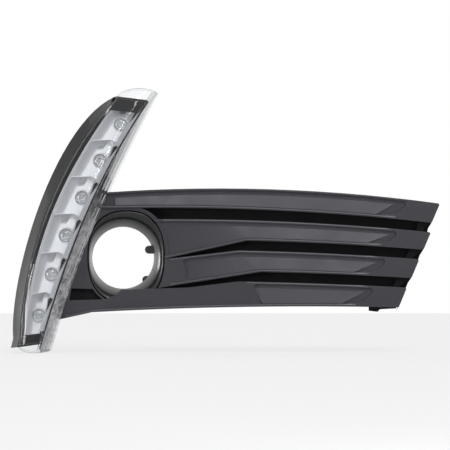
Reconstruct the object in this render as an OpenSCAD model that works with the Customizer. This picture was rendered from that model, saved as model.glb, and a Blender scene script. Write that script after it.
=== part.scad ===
// Daytime running lamp with its fog lamp cover, for the outer corner of a front bumper.
// Millimetres. The front faces -Y, +X runs along the slats, +Z is up.
// The origin is in the middle of the fog lamp bore. Depths are counted from the slat pads.

/* [Lamp outline, front view] */
// Inner flank edge of the front pane: lower end, x and z
pane_foot = [-134.2, -108.7]; // [-400:0.1:400]
// Inner flank edge of the front pane: lower handle of its curve
pane_foot_pull = [-126.2, 19.4]; // [-400:0.1:400]
// Inner flank edge of the front pane: upper handle of its curve
pane_head_pull = [-82.0, 115.4]; // [-400:0.1:400]
// Inner flank edge of the front pane: upper end, x and z
pane_head = [-5.9, 217.4]; // [-400:0.1:400]
// Width of the front pane at those four points, bottom to top
pane_w = [29.7, 54.4, 51.6, 43.2]; // [20:0.1:90]
// Rise of the far pane edge over the near one at those four points
pane_rise = [4.1, -9.5, -2.8, -5.4]; // [-20:0.1:20]
// Width of the clear wing beside the pane at those four points
wing_w = [15.5, 12.6, 22.4, 6.7]; // [4:0.1:40]
// Rise of the wing edge over the pane edge at those four points
wing_rise = [2.7, -1.5, 0.7, 2.6]; // [-20:0.1:20]
// Width of the black flank at those four points
flank_w = [13.5, 29.4, 9.4, 2.7]; // [1:0.1:60]
// Rise of the flank edge over the pane edge at those four points
flank_rise = [-2.0, -48.4, 70.3, 1.3]; // [-90:0.1:90]

/* [Lamp section, depth from the slat pads] */
// Depth of the front pane at its edges
pane_y = -26; // [-40:0.5:-20]
// Crown of the front pane over its edges
pane_crown = 3; // [0:0.5:6]
// Depth of the free edge of the clear wing
wing_y = 4; // [0:0.5:6]
// Depth of the seam on the flank side
seam_y = -20; // [-24:0.5:-16]
// Depth of the seam on the wing side
inner_seam_y = -6; // [-10:0.5:-2]
// Depth at which the flank is widest
flank_y = 8; // [0:0.5:16]
// Depth of the housing back
back_y = 34; // [32:0.5:44]
// Share of the flank in front of which the clear lens starts
seam_share = 0.3; // [0.15:0.05:0.5]
// Set-in of the housing from the far pane edge
seat_in = 3; // [2:0.1:5]
// Wall of the black housing
housing_wall = 2.5; // [2:0.1:3.5]
// Wall of the clear lens
lens_wall = 2.4; // [1.8:0.1:3.2]
// Thickness of the sealing bead
bead_h = 0.8; // [0.5:0.1:1.5]

/* [Light cells] */
// Number of light cells
cells = 6; // [3:1:8]
// Place along the lamp at which the top cell ends
cell_end = 0.968; // [0.9:0.001:0.98]
// Diameter of the front of an optic
optic_d = 18; // [14:0.5:19]
// Thickness of the optic flange
flange_t = 2; // [1.5:0.1:3]
// Crown of the optic front
optic_crown = 2.6; // [1:0.1:4]
// Diameter of the legs that the tray screws enter
leg_d = 5.5; // [5:0.1:6]
// Wall of the collar that holds an optic
collar_wall = 0.9; // [0.6:0.1:1.2]
// Height of the optic axis in its cell, as a share of the cell
optic_share = 0.5; // [0.4:0.01:0.6]
// Depth of the optic flange
optic_y = -6; // [-8:0.5:-4]
// Length of an optic behind its flange front
optic_len = 14.4; // [13:0.1:15]
// Depth of the tray rim
tray_y = -17; // [-18:0.5:-15]
// Depth of a cell at its lower edge
cell_low_y = -10; // [-12:0.5:-8]
// Depth of a cell at its upper edge
cell_high_y = 2; // [0:0.5:3]
// Wall of the reflector tray
tray_wall = 1.8; // [1.2:0.1:2.4]
// Depth of the notch beside each cell
notch_w = 6; // [3:0.5:8]

/* [Board and heat sink] */
// Depth of the front of the board
board_y = 10; // [9:0.5:12]
// Thickness of the board
board_t = 1.6; // [1:0.1:2]
// Side of a light chip
chip_w = 3.5; // [2.5:0.5:5]
// Height of a light chip
chip_h = 0.9; // [0.6:0.1:1.2]
// Thickness of the heat sink plate
sink_t = 2; // [1.5:0.1:3]
// Height of the fins on the heat sink
fin_h = 8; // [4:0.5:10]
// Thickness of a fin
fin_t = 1.6; // [1.2:0.1:2.5]
// Fins behind each light cell
fins_per_cell = 4; // [2:1:5]

/* [Fog lamp opening] */
// Diameter of the fog lamp bore
fog_d = 84; // [76:1:90]
// Depth of the front end of the bore
fog_y = 36; // [30:1:40]
// Length of the bore
fog_len = 10; // [8:1:14]
// Width and height of the funnel mouth
mouth = [104.6, 126]; // [100:0.1:130]
// Centre of the funnel mouth, x and z
mouth_at = [5, 1.5]; // [-6:0.1:6]
// Squareness of the mouth, 2 is an ellipse
mouth_power = 2.4; // [2:0.1:3]
// Heights z of the two fog lamp lugs
lug_z = [11, -30]; // [-34:1:34]
// Reach x of the lug tips in the opening
lug_tip = [29.6, 26]; // [24:0.1:40]
// Width of a lug
lug_w = 11; // [9:0.5:13]
// Thickness of a lug
lug_t = 3; // [2:0.5:4]
// Width of a spring nut
nut_w = 12; // [10:0.5:14]
// Sheet thickness of a spring nut
nut_t = 0.7; // [0.5:0.1:1]
// Pilot hole of a fog lamp screw
fog_pilot_d = 4; // [3:0.1:5]

/* [Slats] */
// Upper edge of slat 1: apex x, apex z and radius
slat_1_top = [130, 93.9, 2200]; // [-100:0.1:8000]
// Lower edge of slat 1
slat_1_low = [50, 67.5, 3400]; // [-100:0.1:8000]
// Upper edge of slat 2
slat_2_top = [70, 52.5, 3400]; // [-100:0.1:8000]
// Lower edge of slat 2
slat_2_low = [70, 24.3, 4300]; // [-100:0.1:8000]
// Upper edge of slat 3
slat_3_top = [70, 11.2, 4300]; // [-100:0.1:8000]
// Lower edge of slat 3
slat_3_low = [70, -17.8, 5500]; // [-100:0.1:8000]
// Upper edge of slat 4
slat_4_top = [70, -31, 5500]; // [-100:0.1:8000]
// Lower edge of slat 4
slat_4_low = [250, -65.4, 5400]; // [-100:0.1:8000]
// Upper edge of slat 4 left of its arc, where it runs under the funnel: three points x and z
band_top = [[-95, -43], [15, -42.3], [89, -39.8]]; // [-100:0.1:100]
// Reach of the four slat tips along x
tip_x = [428.8, 416.6, 401, 384.2]; // [340:0.1:450]
// Lean of the slat tips, sideways for each millimetre down
tip_lean = 0.41; // [0.2:0.01:0.6]
// Length of the flush pad at each tip
pad_len = 42; // [30:1:55]
// Height of the lip over each recess
lip_h = 3.4; // [2:0.1:5]
// Height of the lip under each recess
sill_h = 4.2; // [1.5:0.1:6]
// Depth of the recess in each slat face
recess_y = 4.2; // [2:0.1:4.2]
// Depth of the lower edge of the tilted panel in each recess
panel_y = 0.9; // [0.4:0.1:1.5]
// Height of the level strip over each tilted panel
panel_drop = 4.6; // [2:0.1:6]
// Depth of the grooves between the slats
groove_y = 22; // [16:0.5:24]
// Wall of the cover
cover_wall = 2.5; // [2:0.1:3]
// Pitch of the stiffening ribs behind the slats
rib_pitch = 46; // [30:1:80]
// Thickness of a stiffening rib
rib_t = 1.6; // [1.2:0.1:2]

/* [Fixings] */
// Spacing of the bumper screws along x and z
fix_pitch = [230, 124]; // [100:1:260]
// Middle of the bumper screws, x and z
fix_at = [215, 12]; // [0:1:260]
// Pilot hole of a bumper screw
fix_pilot_d = 4.2; // [3:0.1:5]
// Depth of the pilot holes
fix_pilot_len = 14; // [10:1:16]
// Heights z of the ears that hold the lamp to the cover
ear_z = [45, 0, -48]; // [-60:1:60]
// Reach of an ear from the housing to its hole
ear_reach = 8.5; // [8:0.5:10]
// Diameter of the lamp screws
screw_d = 4; // [3:0.5:5]
// Depth that a lamp screw reaches into the cover
lamp_bite = 4.8; // [4:0.1:5]
// Diameter of the tray screws
tray_screw_d = 2.5; // [2:0.1:3]
// Depth that a tray screw reaches into its leg
tray_bite = 5.9; // [4:0.1:7]
// Clearance round a screw or a seated piece
clear = 0.1; // [0.05:0.05:0.2]
// Clearance between the lamp and the cover
lamp_gap = 0.8; // [0.5:0.1:1.5]

/* [Plug socket and vent] */
// Inside width and height of the plug socket
socket_in = [15, 9]; // [8:0.5:18]
// Wall of the socket shroud
socket_wall = 2; // [1.5:0.1:2.5]
// Brim of the socket flange round its inside
socket_brim = 4.5; // [3:0.5:6]
// Length of the socket behind the housing
socket_len = 18; // [14:0.5:24]
// Pitch of the pins
pin_pitch = 4.5; // [3:0.1:5]
// Side of a square pin
pin_w = 1; // [0.6:0.1:1.5]
// Diameter of the vent stem
vent_d = 6; // [4:0.5:8]

/* [Hidden] */
$fn = 64;
eps = 0.01;
steps = 26;
end_wall = 1.1 * housing_wall / norm(pane_head - pane_foot);
tail_low = [100, 340];
tail_high = [215, 300];
lens_end = [-0.08, 1.07];
housing_end = [-0.032, 1];
cavity_end = [housing_end[0] + end_wall, housing_end[1] - end_wall];
sink_y = board_y + board_t;
post_y = sink_y + sink_t;
skin_y = wing_y + 0.3;
slat_back = groove_y + cover_wall;
pad_fillet = 3.5;
boss_d = fix_pilot_d + 2 * cover_wall;
ear_t = 3;
ear_h = 14;
ear_y = skin_y + cover_wall + 5.5;
screw_hole_d = screw_d + 2 * clear + 0.4;
socket_neck = socket_in + [socket_wall, socket_wall];
post_cells = [0, floor(cells / 2), cells - 1];
// Knees x where the slats start to fan towards the funnel, the slopes left of them, and their left ends
top_knee = [-30, 45, 156, 156];
top_slope = [0, 0, 0.12];
low_knee = [-30, 168, 187, -41];
low_slope = [0, 0.22, 0.155, 0.22];
fan_x = [-30, 40, 40, -95];
// Left ends of the recesses in the slat faces
recess_x = [-60, 20, 60, 160];
// Tilted panels as [slat, left ends x of the upper and lower edge, right ends, depths of the lower edge]
panels = [[0, [-10, -10], [368, 342], [panel_y, panel_y]],
          [1, [64, 58], [158, 186], [recess_y - 0.2, panel_y]], [1, [158, 186], [362, 330], [panel_y, panel_y]],
          [2, [68, 60], [158, 184], [recess_y - 0.2, 0.5]], [2, [158, 184], [345, 312], [panel_y, panel_y]],
          [3, [170, 190], [330, 296], [panel_y, panel_y]]];

black = [0.13, 0.13, 0.14];
satin = [0.2, 0.2, 0.21];
silver = [0.82, 0.83, 0.85];
clear_pc = [0.9, 0.93, 0.96, 0.35];

// Cubic curve through two ends with two handles, carried on straight past both ends
function cubic(p, t) =
    pow(1 - t, 3) * p[0] + 3 * pow(1 - t, 2) * t * p[1] + 3 * (1 - t) * t * t * p[2] + pow(t, 3) * p[3];
function carried(p, t) =
    t < 0 ? p[0] + t * tail_low : t > 1 ? p[3] + (t - 1) * tail_high : cubic(p, t);

// Control points of the four long edges of the lamp
pane_near = [pane_foot, pane_foot_pull, pane_head_pull, pane_head];
pane_far = [for (i = [0:3]) pane_near[i] + [pane_w[i], pane_rise[i]]];
wing_edge = [for (i = [0:3]) pane_far[i] + [wing_w[i], wing_rise[i]]];
flank_edge = [for (i = [0:3]) pane_near[i] + [-flank_w[i], flank_rise[i]]];

function flank_at(t) = norm(carried(flank_edge, t) - carried(pane_near, t));
function pane_at(t) = norm(carried(pane_far, t) - carried(pane_near, t));
function wing_at(t) = norm(carried(wing_edge, t) - carried(pane_far, t));
function unit(v) = v / norm(v);

// Point u millimetres across the lamp from the near pane edge, negative on the flank
function across(t, u) =
    let (near = carried(pane_near, t), far = carried(pane_far, t), w = pane_at(t))
    u < 0 ? near - u * unit(carried(flank_edge, t) - near)
    : u <= w ? near + u * unit(far - near)
    : far + (u - w) * unit(carried(wing_edge, t) - far);
// Place along the lamp at which its far pane edge has the height z, by halving
function place_of(z, low = 0, high = 1, n = 12) =
    n == 0 ? (low + high) / 2
    : carried(pane_far, (low + high) / 2).y < z ? place_of(z, (low + high) / 2, high, n - 1)
    : place_of(z, low, (low + high) / 2, n - 1);
function spread(t0, t1, n) = [for (i = [0:n]) t0 + (t1 - t0) * i / n];
function reversed(v) = [for (i = [len(v) - 1:-1:0]) v[i]];

// One ring of the lamp: a list of [u, y] pairs set at the place t
function ring(t, pairs) = [for (p = pairs) let (q = across(t, p[0])) [q.x, p[1], q.y]];

// Closed solid through a row of rings with equal counts. Two lofts that lie face to face turn
// these faces opposite ways round, so one of them takes the other diagonal.
module loft(rings, other = false) {
    n = len(rings[0]);
    last = len(rings) - 1;
    polyhedron(
        points = [for (r = rings) each r],
        faces = concat(
            [[for (j = [0:n - 1]) j]],
            [for (i = [0:last - 1], j = [0:n - 1])
                let (a = i * n + j, b = i * n + (j + 1) % n, c = a + n, d = b + n)
                each other ? [[a, c, d], [a, d, b]] : [[a, c, b], [c, d, b]]],
            [[for (j = [n - 1:-1:0]) last * n + j]]));
}

// Sets the origin in the middle of the fog lamp bore
module from_bore() translate([0, -fog_y - fog_len / 2, 0]) children();

// Front view shape carried from depth y0 to depth y1
module slab(y0, y1) translate([0, y1, 0]) rotate([90, 0, 0]) linear_extrude(y1 - y0) children();

// Front view strip along the lamp between two distances from the near pane edge
module strip(t0, t1, u0, u1, n = steps) {
    ts = spread(t0, t1, n);
    polygon(concat([for (t = ts) across(t, u0)], [for (t = reversed(ts)) across(t, pane_at(t) + u1)]));
}

// Round bar or bore along Y at a front view point
module bar(at, y0, y1, d) translate([at.x, y1, at.y]) rotate([90, 0, 0]) cylinder(d = d, h = y1 - y0);
// Block along Y at a front view point
module block(at, size, y0, y1)
    translate([at.x - size.x / 2, y0, at.y - size.y / 2]) cube([size.x, y1 - y0, size.y]);

// Front view mask that gives both clear tips of the lamp their round ends
module tip_mask(inset = 0) {
    top_left = carried(flank_edge, 1);
    top_right = carried(wing_edge, 1.024);
    foot_left = carried(flank_edge, 0);
    foot_right = carried(wing_edge, -0.065);
    foot_mid = carried(pane_far, -0.068) - [7, 0];
    offset(delta = -inset) polygon(concat(
        [[-300, -95], [foot_left.x - 22, -95]],
        [for (t = spread(0, 1, 8)) cubic([foot_left, foot_left + [8, -11], foot_mid - [16, 0], foot_mid], t)],
        [for (t = spread(0.2, 1, 4)) cubic([foot_mid, foot_mid + [8, 0], foot_right - [3, 3], foot_right], t)],
        [[foot_right.x + 40, -95], [300, -95], [300, 200], [top_right.x + 35, 200]],
        [for (t = spread(0, 1, 10))
            cubic([top_right, top_right + [-17, 10], top_left + [17, 11.5], top_left], t)],
        [[top_left.x - 50, 215], [-300, 215]]));
}

// Sections of the lamp shells, each as [u, y] pairs
function housing_outer(t) =
    let (f = flank_at(t), w = pane_at(t))
    [[w - seat_in, inner_seam_y], [w - seat_in, back_y], [-0.85 * f, back_y], [-f, flank_y], [-seam_share * f, seam_y]];
function housing_inner(t) =
    let (f = flank_at(t), w = pane_at(t), h = housing_wall)
    [[w - seat_in - h, pane_y - 10], [w - seat_in - h, back_y - h], [h - 0.85 * f, back_y - h],
     [1.3 * h - f, flank_y], [h - seam_share * f, seam_y + 1], [h - seam_share * f, pane_y - 10]];
function lens_outer(t) =
    let (f = flank_at(t), w = pane_at(t), g = wing_at(t))
    [[-seam_share * f, seam_y - bead_h], [0, pane_y], [0.3 * w, pane_y - 0.85 * pane_crown],
     [0.7 * w, pane_y - 0.85 * pane_crown], [w, pane_y], [w + g, wing_y], [w + g - 1.25 * lens_wall, wing_y],
     [w - 0.1, pane_y + 3 * lens_wall], [w - seat_in, inner_seam_y - bead_h]];
function lens_inner(t) =
    let (f = flank_at(t), w = pane_at(t), h = lens_wall)
    [[h - seam_share * f, wing_y], [h - seam_share * f, seam_y - bead_h], [0.7 * h, pane_y + h],
     [0.3 * w, pane_y - 0.85 * pane_crown + h], [0.7 * w, pane_y - 0.85 * pane_crown + h],
     [w - 1.25 * h, pane_y + h], [w - seat_in - h, inner_seam_y - 1.25 * h], [w - seat_in - h, wing_y]];
function bead_outer(t) =
    let (f = flank_at(t), w = pane_at(t))
    [[-seam_share * f, seam_y - clear], [-seam_share * f, seam_y - bead_h + clear],
     [w - seat_in, inner_seam_y - bead_h + clear], [w - seat_in, inner_seam_y - clear]];

// Light cells are counted from the top, as their pieces are; each optic clears the slanted far wall
function lean_cos(t) = let (d = carried(pane_far, t + 0.01) - carried(pane_far, t - 0.01)) d.y / norm(d);
function optic_inset(t) = seat_in + housing_wall + 0.3 + (optic_d / 2 + clear + collar_wall) / lean_cos(t);
function cell_t(i, share) = cell_end * (cells - i + share) / cells;
function optic_at(i) = let (t = cell_t(i, optic_share)) across(t, pane_at(t) - optic_inset(t));
function tray_near(t) = housing_wall + 0.6;
function tray_far(t) = pane_at(t) - seat_in - housing_wall - 0.3;
function leg_at(i) = let (t = cell_t(i, 0.3)) across(t, tray_near(t) + 3.2);
function post_at(i) = let (t = cell_t(cells - post_cells[i], 0.06)) across(t, pane_at(t) - optic_inset(t));
function ear_at(i) =
    let (t = place_of(ear_z[i]), wall = across(t, pane_at(t) - seat_in)) wall + [ear_reach, 0];
socket_at = let (t = cell_t(ceil(cells / 2), 0.98)) across(t, pane_at(t) - optic_inset(t) - 2);
vent_at = let (t = cell_t(2, 0.5)) across(t, pane_at(t) - optic_inset(t));

module lamp_housing() color(black) from_bore() difference() {
    union() {
        difference() {
            loft([for (t = spread(housing_end[0], housing_end[1], steps)) ring(t, housing_outer(t))]);
            loft([for (t = spread(cavity_end[0], cavity_end[1], steps)) ring(t, housing_inner(t))]);
        }
        for (i = [0:len(post_cells) - 1])
            bar(post_at(i), post_y, back_y - housing_wall / 2, screw_d + 2 * housing_wall);
        for (i = [0:len(ear_z) - 1]) housing_ear(i);
    }
    for (i = [0:len(post_cells) - 1]) bar(post_at(i), 0, back_y + 1, screw_hole_d);
    for (i = [0:len(ear_z) - 1]) bar(ear_at(i), 0, back_y, screw_hole_d);
    block(socket_at, socket_neck + 2 * [clear, clear], back_y - 2 * housing_wall, back_y + 1);
    bar(vent_at, back_y - 2 * housing_wall, back_y + 1, vent_d + 2 * clear);
}

// Flat ear on the wall beside the cover, its root inside that wall
module housing_ear(i) slab(ear_y, ear_y + ear_t) hull() {
    translate(ear_at(i)) circle(d = ear_h);
    for (end = [-1, 1]) let (t = place_of(ear_z[i] + end * ear_h / 2))
        translate(across(t, pane_at(t) - seat_in - housing_wall / 2)) circle(d = housing_wall / 2);
}

module outer_lens() color(clear_pc) from_bore() difference() {
    intersection() {
        loft([for (t = concat([lens_end[0]], spread(housing_end[0], housing_end[1], steps), [lens_end[1]]))
            ring(t, lens_outer(t))]);
        slab(pane_y - 10, back_y) tip_mask();
    }
    loft([for (t = spread(cavity_end[0], cavity_end[1], steps)) ring(t, lens_inner(t))]);
    intersection() {
        union() {
            loft([for (t = [lens_end[0] - 0.02, housing_end[0]]) ring(t, lens_inner(t))]);
            loft([for (t = [housing_end[1], lens_end[1] + 0.02]) ring(t, lens_inner(t))]);
        }
        slab(pane_y - 10, back_y) tip_mask(lens_wall);
    }
}

module sealing_bead() color("dimgray") from_bore() difference() {
    loft([for (t = spread(housing_end[0], housing_end[1], steps)) ring(t, bead_outer(t))], other = true);
    loft([for (t = spread(cavity_end[0], cavity_end[1], steps)) ring(t, housing_inner(t))]);
}

// Right edge of the tray as seen from the front, with the notch beside each cell
module notches() for (i = [1:cells]) {
    top = cell_t(i, 0.93);
    knee = cell_t(i, 0.72);
    low = cell_t(i, 0.2);
    polygon([across(top, tray_far(top) + 1), across(knee, tray_far(knee) - notch_w),
             across(low, tray_far(low) + 1)]);
}

module inner_mask() color(black) from_bore() slab(tray_y - 1.5, tray_y) {
    difference() {
        strip(0.004, 0.988, tray_near(0) - 0.2, -seat_in - housing_wall - 0.6);
        strip(0.012, cell_end - 0.026, tray_near(0) + 1.6, -seat_in - housing_wall - 2.4);
    }
}

// Front and back depths of the tray at a share of a cell
function tray_front(share) = cell_low_y + (cell_high_y - cell_low_y) * share;
function tray_ring(t, front, back) =
    let (near = tray_near(t), far = tray_far(t), axis = pane_at(t) - optic_inset(t), r = optic_d / 2 + 2)
    ring(t, [
        [near, tray_y], [near + 1.8, tray_y], [max(near + 2.4, axis - r), front],
        [min(far - 1.8, axis + 0.6 * r), front], [far - 1.2, tray_y], [far, tray_y],
        [far, tray_y + 2 * tray_wall], [min(far - 0.6, axis + 0.6 * r + 1), back],
        [max(near + 1.6, axis - r - 1), back], [near, tray_y + 2 * tray_wall]]);

module reflector_tray() color(silver) from_bore() difference() {
    union() {
        difference() {
            loft(concat(
                [for (i = [cells:-1:1]) each [
                    tray_ring(cell_t(i, 0.005 + (i == cells ? 0.06 : 0)), tray_front(0), cell_high_y + tray_wall),
                    tray_ring(cell_t(i, 0.1), tray_front(0.04), tray_front(0.04) + tray_wall),
                    tray_ring(cell_t(i, 0.5), tray_front(0.5), tray_front(0.5) + tray_wall),
                    tray_ring(cell_t(i, i == 1 ? 0.86 : 0.96), tray_front(1), cell_high_y + tray_wall)]],
                [tray_ring(cell_t(1, 0.9), tray_front(0), cell_high_y + tray_wall)]), other = true);
            slab(tray_y - 5, board_y) notches();
        }
        for (i = [1:cells]) {
            bar(optic_at(i), optic_y - 1, optic_y + 2 * flange_t, optic_d + 2 * clear + 2 * collar_wall);
            bar(leg_at(i), tray_y + 1, board_y, leg_d);
        }
    }
    for (i = [1:cells]) {
        bar(optic_at(i), tray_y - 5, optic_y + flange_t, optic_d + 2 * clear);
        bar(optic_at(i), optic_y, board_y, optic_d - 2);
        bar(leg_at(i), board_y - tray_bite - 1, board_y + 1, tray_screw_d + 2 * clear);
    }
}

// Clear optic: domed front, flange, cone down to the light chip
module optic(i) color(clear_pc) from_bore() {
    r = optic_d / 2;
    at = optic_at(i);
    translate([at.x, optic_y, at.y]) rotate([-90, 0, 0]) rotate_extrude() polygon(concat(
        [for (a = spread(0, 60, 8))
            [r * 0.96 * sin(a) / sin(60), -optic_crown * (cos(a) - cos(60)) / (1 - cos(60))]],
        [[r, 0], [r, flange_t], [r - 1.6, flange_t], [chip_w + 0.9, optic_len], [chip_w - 0.5, optic_len],
         [chip_w - 1.1, optic_len - 2], [0, optic_len - 2]]));
}

module led_board() color([0.9, 0.9, 0.88]) from_bore() difference() {
    slab(board_y, sink_y) strip(0.012, 0.976, housing_wall + 1, -seat_in - housing_wall - 1);
    for (i = [1:cells]) bar(leg_at(i), 0, sink_y + 1, tray_screw_d + 2 * clear);
    for (k = [-1:1]) block(pin_at(k), [pin_w, pin_w] + 2 * [clear, clear], 0, sink_y + 1);
}

module led(i) color([0.95, 0.85, 0.3]) from_bore() {
    block(optic_at(i), [chip_w, chip_w], board_y - 0.6 * chip_h, board_y);
    bar(optic_at(i), board_y - chip_h, board_y - 0.5 * chip_h, 0.8 * chip_w);
}

// Driver parts on the board: a coil, a regulator and two capacitors
function driver_at(k) = across(cell_t(k + 2, 0.7), housing_wall + 8);
module driver_parts() from_bore() {
    color([0.25, 0.25, 0.26]) block(driver_at(0), [8, 8], board_y - 3.8, board_y);
    color([0.1, 0.1, 0.1]) block(driver_at(1), [6, 6], board_y - 1.4, board_y);
    color([0.75, 0.6, 0.4]) for (k = [2, 3]) block(driver_at(k), [3.2, 5], board_y - 1.8, board_y);
}

module heat_sink() color([0.7, 0.71, 0.72]) from_bore() difference() {
    union() {
        slab(sink_y, post_y) strip(0.006, 0.982, housing_wall + 0.6, -seat_in - housing_wall - 0.6);
        for (i = [1:cells], k = [0:fins_per_cell - 1]) {
            t = cell_t(i, 0.2 + 0.6 * k / (fins_per_cell - 1));
            slab(sink_y, post_y + fin_h)
                strip(t, t + fin_t / norm(pane_head - pane_foot), housing_wall + 3, -seat_in - housing_wall - 4, 1);
        }
    }
    for (i = [0:len(post_cells) - 1]) bar(post_at(i), 0, back_y, screw_d + 2 * clear);
    for (i = [1:cells]) bar(leg_at(i), 0, post_y + 1, tray_screw_d + 2 * clear);
    block(socket_at, socket_neck + 2 * [clear, clear], 0, back_y);
}

// Plug socket: neck on the board, flange on the housing back, open shroud behind it
module connector_socket() color(black) from_bore() difference() {
    union() {
        block(socket_at, socket_neck, sink_y, back_y + 1);
        block(socket_at, socket_in + 2 * [socket_brim, socket_brim], back_y, back_y + socket_wall);
        block(socket_at, socket_in + 2 * [socket_wall, socket_wall], back_y, back_y + socket_len);
    }
    block(socket_at, socket_in, back_y + 1.5 * socket_wall, back_y + socket_len + 1);
    for (k = [-1:1]) block(pin_at(k), [pin_w, pin_w] + 2 * [clear, clear], 0, back_y + 2 * socket_wall);
}

function pin_at(k) = socket_at + [k * pin_pitch, 0];
module connector_pins() color([0.85, 0.75, 0.45]) from_bore()
    for (k = [-1:1]) block(pin_at(k), [pin_w, pin_w], board_y + 0.1, back_y + 0.6 * socket_len);

module vent_cap() color("dimgray") from_bore() translate([vent_at.x, back_y, vent_at.y]) rotate([-90, 0, 0])
    rotate_extrude() let (r = vent_d / 2)
        polygon([[0, -2 * housing_wall], [r, -2 * housing_wall], [r, 0], [r + 4, 0], [r + 4, 2.5],
                 [r + 2.5, 4], [0, 4]]);

// Pan head screw along Y: the head lies behind the depth y, the shank runs forward
module screw(at, y, d, length) translate([at.x, y, at.y]) rotate([90, 0, 0]) rotate_extrude()
    polygon([[0, -0.55 * d], [0.55 * d, -0.6 * d], [0.9 * d, -0.35 * d], [d, 0], [d / 2, 0],
             [d / 2, length - d / 4], [d / 4, length], [0, length]]);

module tray_screws() color("silver") from_bore()
    for (i = [1:cells]) screw(leg_at(i), post_y, tray_screw_d, sink_t + board_t + tray_bite);
module carrier_screws() color("silver") from_bore()
    for (i = [0:len(post_cells) - 1]) screw(post_at(i), back_y, screw_d, back_y - sink_y - 0.2);
module lamp_screws() color("silver") from_bore() for (i = [0:len(ear_z) - 1])
    screw(ear_at(i), ear_y + ear_t, screw_d, ear_t + lamp_bite);

// Height of an arched edge at x
function edge_z(e, x) = e[1] - e[2] + sqrt(e[2] * e[2] - pow(x - e[0], 2));
function edge_row(e, x0, x1, n = 14) = [for (x = spread(x0, x1, n)) [x, edge_z(e, x)]];
slat_top = [slat_1_top, slat_2_top, slat_3_top, slat_4_top];
slat_low = [slat_1_low, slat_2_low, slat_3_low, slat_4_low];

function tip_low_x(i) = tip_x[i] - tip_lean * (edge_z(slat_top[i], tip_x[i]) - edge_z(slat_low[i], tip_x[i]));
function upper_row(i, drop) =
    let (knee = top_knee[i], z = edge_z(slat_top[i], knee))
    concat(i == 3 ? [for (p = band_top) p - [0, drop]]
                  : [[fan_x[i], z - top_slope[i] * (knee - fan_x[i]) - drop]],
           [for (p = edge_row(slat_top[i], knee, tip_x[i])) p - [0, drop]]);
function lower_row(i, rise) =
    let (knee = low_knee[i], z = edge_z(slat_low[i], knee))
    concat([[fan_x[i], z - low_slope[i] * (knee - fan_x[i]) + rise]],
           [for (p = edge_row(slat_low[i], knee, tip_low_x(i))) p + [0, rise]]);

module rounded(r) offset(r = r, $fn = 24) offset(delta = -r) children();

// Heights of a slat's upper and lower edge right of the funnel
function upper_z(i, x) = edge_z(slat_top[i], max(x, top_knee[i])) - (i == 3 ? 0 : top_slope[i]) * max(0, top_knee[i] - x);
function lower_z(i, x) = edge_z(slat_low[i], max(x, low_knee[i])) - low_slope[i] * max(0, low_knee[i] - x);
// Wedge that lifts the lower edge of a recess floor, so that the panel faces slightly up
module tilted_panel(i, left, right, fore) loft([for (k = spread(0, 1, 8))
    let (x = left + k * (right - left), low = lower_z(i, x[1]) + sill_h - 0.5)
    [[x[0], recess_y + 0.4, upper_z(i, x[0]) - lip_h - panel_drop],
     [x[0], recess_y - 0.05, upper_z(i, x[0]) - lip_h - panel_drop],
     [x[1], fore[0] + min(1, 1.4 * k) * (fore[1] - fore[0]), low], [x[1], recess_y + 0.4, low]]]);

// Front view outline of one slat, counted from 0 at the top
module slat_shape(i) rounded(2.4) difference() {
    polygon(concat(upper_row(i, 0), reversed(lower_row(i, 0))));
    if (i == 3) band_end();
}
// Cut that lets the funnel run down in front of the lowest slat's left end
module band_end() {
    z = edge_z(slat_4_low, 0) + 15;
    polygon(concat([for (t = spread(0, 1, 8)) cubic([[-36, z], [-16, z], [-9, z + 6], [-2, z + 13]], t)],
                   [[-2, z + 60], [-120, z + 60], [-120, z - 2]]));
}
// Front view outline of the recess in a slat face
module recess_shape(i) rounded(pad_fillet) {
    top = edge_z(slat_top[i], tip_x[i] - pad_len) - lip_h;
    low = edge_z(slat_low[i], tip_x[i] - 2 * pad_len) + sill_h;
    head = [tip_x[i] - pad_len, top];
    foot = [tip_x[i] - 2 * pad_len, low];
    intersection() {
        polygon(concat(upper_row(i, lip_h), reversed(lower_row(i, sill_h))));
        polygon(concat([for (t = spread(0, 1, 8)) cubic([head + [4, 4], head - [12, 10], foot + [34, 1], foot], t)],
                       [[recess_x[i] + 26, low - 40], [recess_x[i] + 26, low + 6], [recess_x[i], head.y + 40],
                        [head.x, head.y + 40]]));
    }
}

// Funnel mouth as a rounded square
module mouth_shape(grow = 0) {
    a = mouth / 2 + [grow, grow];
    e = 2 / mouth_power;
    translate(mouth_at) polygon([for (k = [0:71]) let (c = cos(5 * k), s = sin(5 * k))
        [a.x * sign(c) * pow(abs(c), e), a.y * sign(s) * pow(abs(s), e)]]);
}

// Everything right of the clear wing, with the lamp gap
module beside_wing() {
    ts = spread(0, 1, 16);
    polygon(concat([for (t = ts) cubic(wing_edge, t) + [lamp_gap, 0]], [[600, 300], [600, -200], [-80, -200]]));
}
// Everything right of the lamp housing, with the lamp gap
module beside_housing() {
    ts = spread(0, 1, 16);
    polygon(concat([for (t = ts) across(t, pane_at(t) - seat_in) + [lamp_gap, 0]],
                   [[600, 300], [600, -200], [-110, -200]]));
}
// Whole front of the cover
module cover_shape() polygon(concat(
    edge_row(slat_1_top, -60, tip_x[0]), [for (i = [0:3]) each [
        [tip_low_x(i), edge_z(slat_low[i], tip_x[i])],
        [tip_low_x(i) - 4, edge_z(slat_low[i], tip_x[i]) - 6]]],
    reversed(edge_row(slat_4_low, low_knee[3], tip_low_x(3))),
    [[fan_x[3], edge_z(slat_4_low, low_knee[3]) - low_slope[3] * (low_knee[3] - fan_x[3])]]));
// Left part of the cover, up to the middle of the funnel mouth
module left_shape() intersection() {
    cover_shape();
    beside_housing();
    union() {
        polygon([[-200, 200], [mouth_at.x - 20, 200], [mouth_at.x - 20, -200], [-200, -200]]);
        mouth_shape(2 * cover_wall);
    }
}
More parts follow.
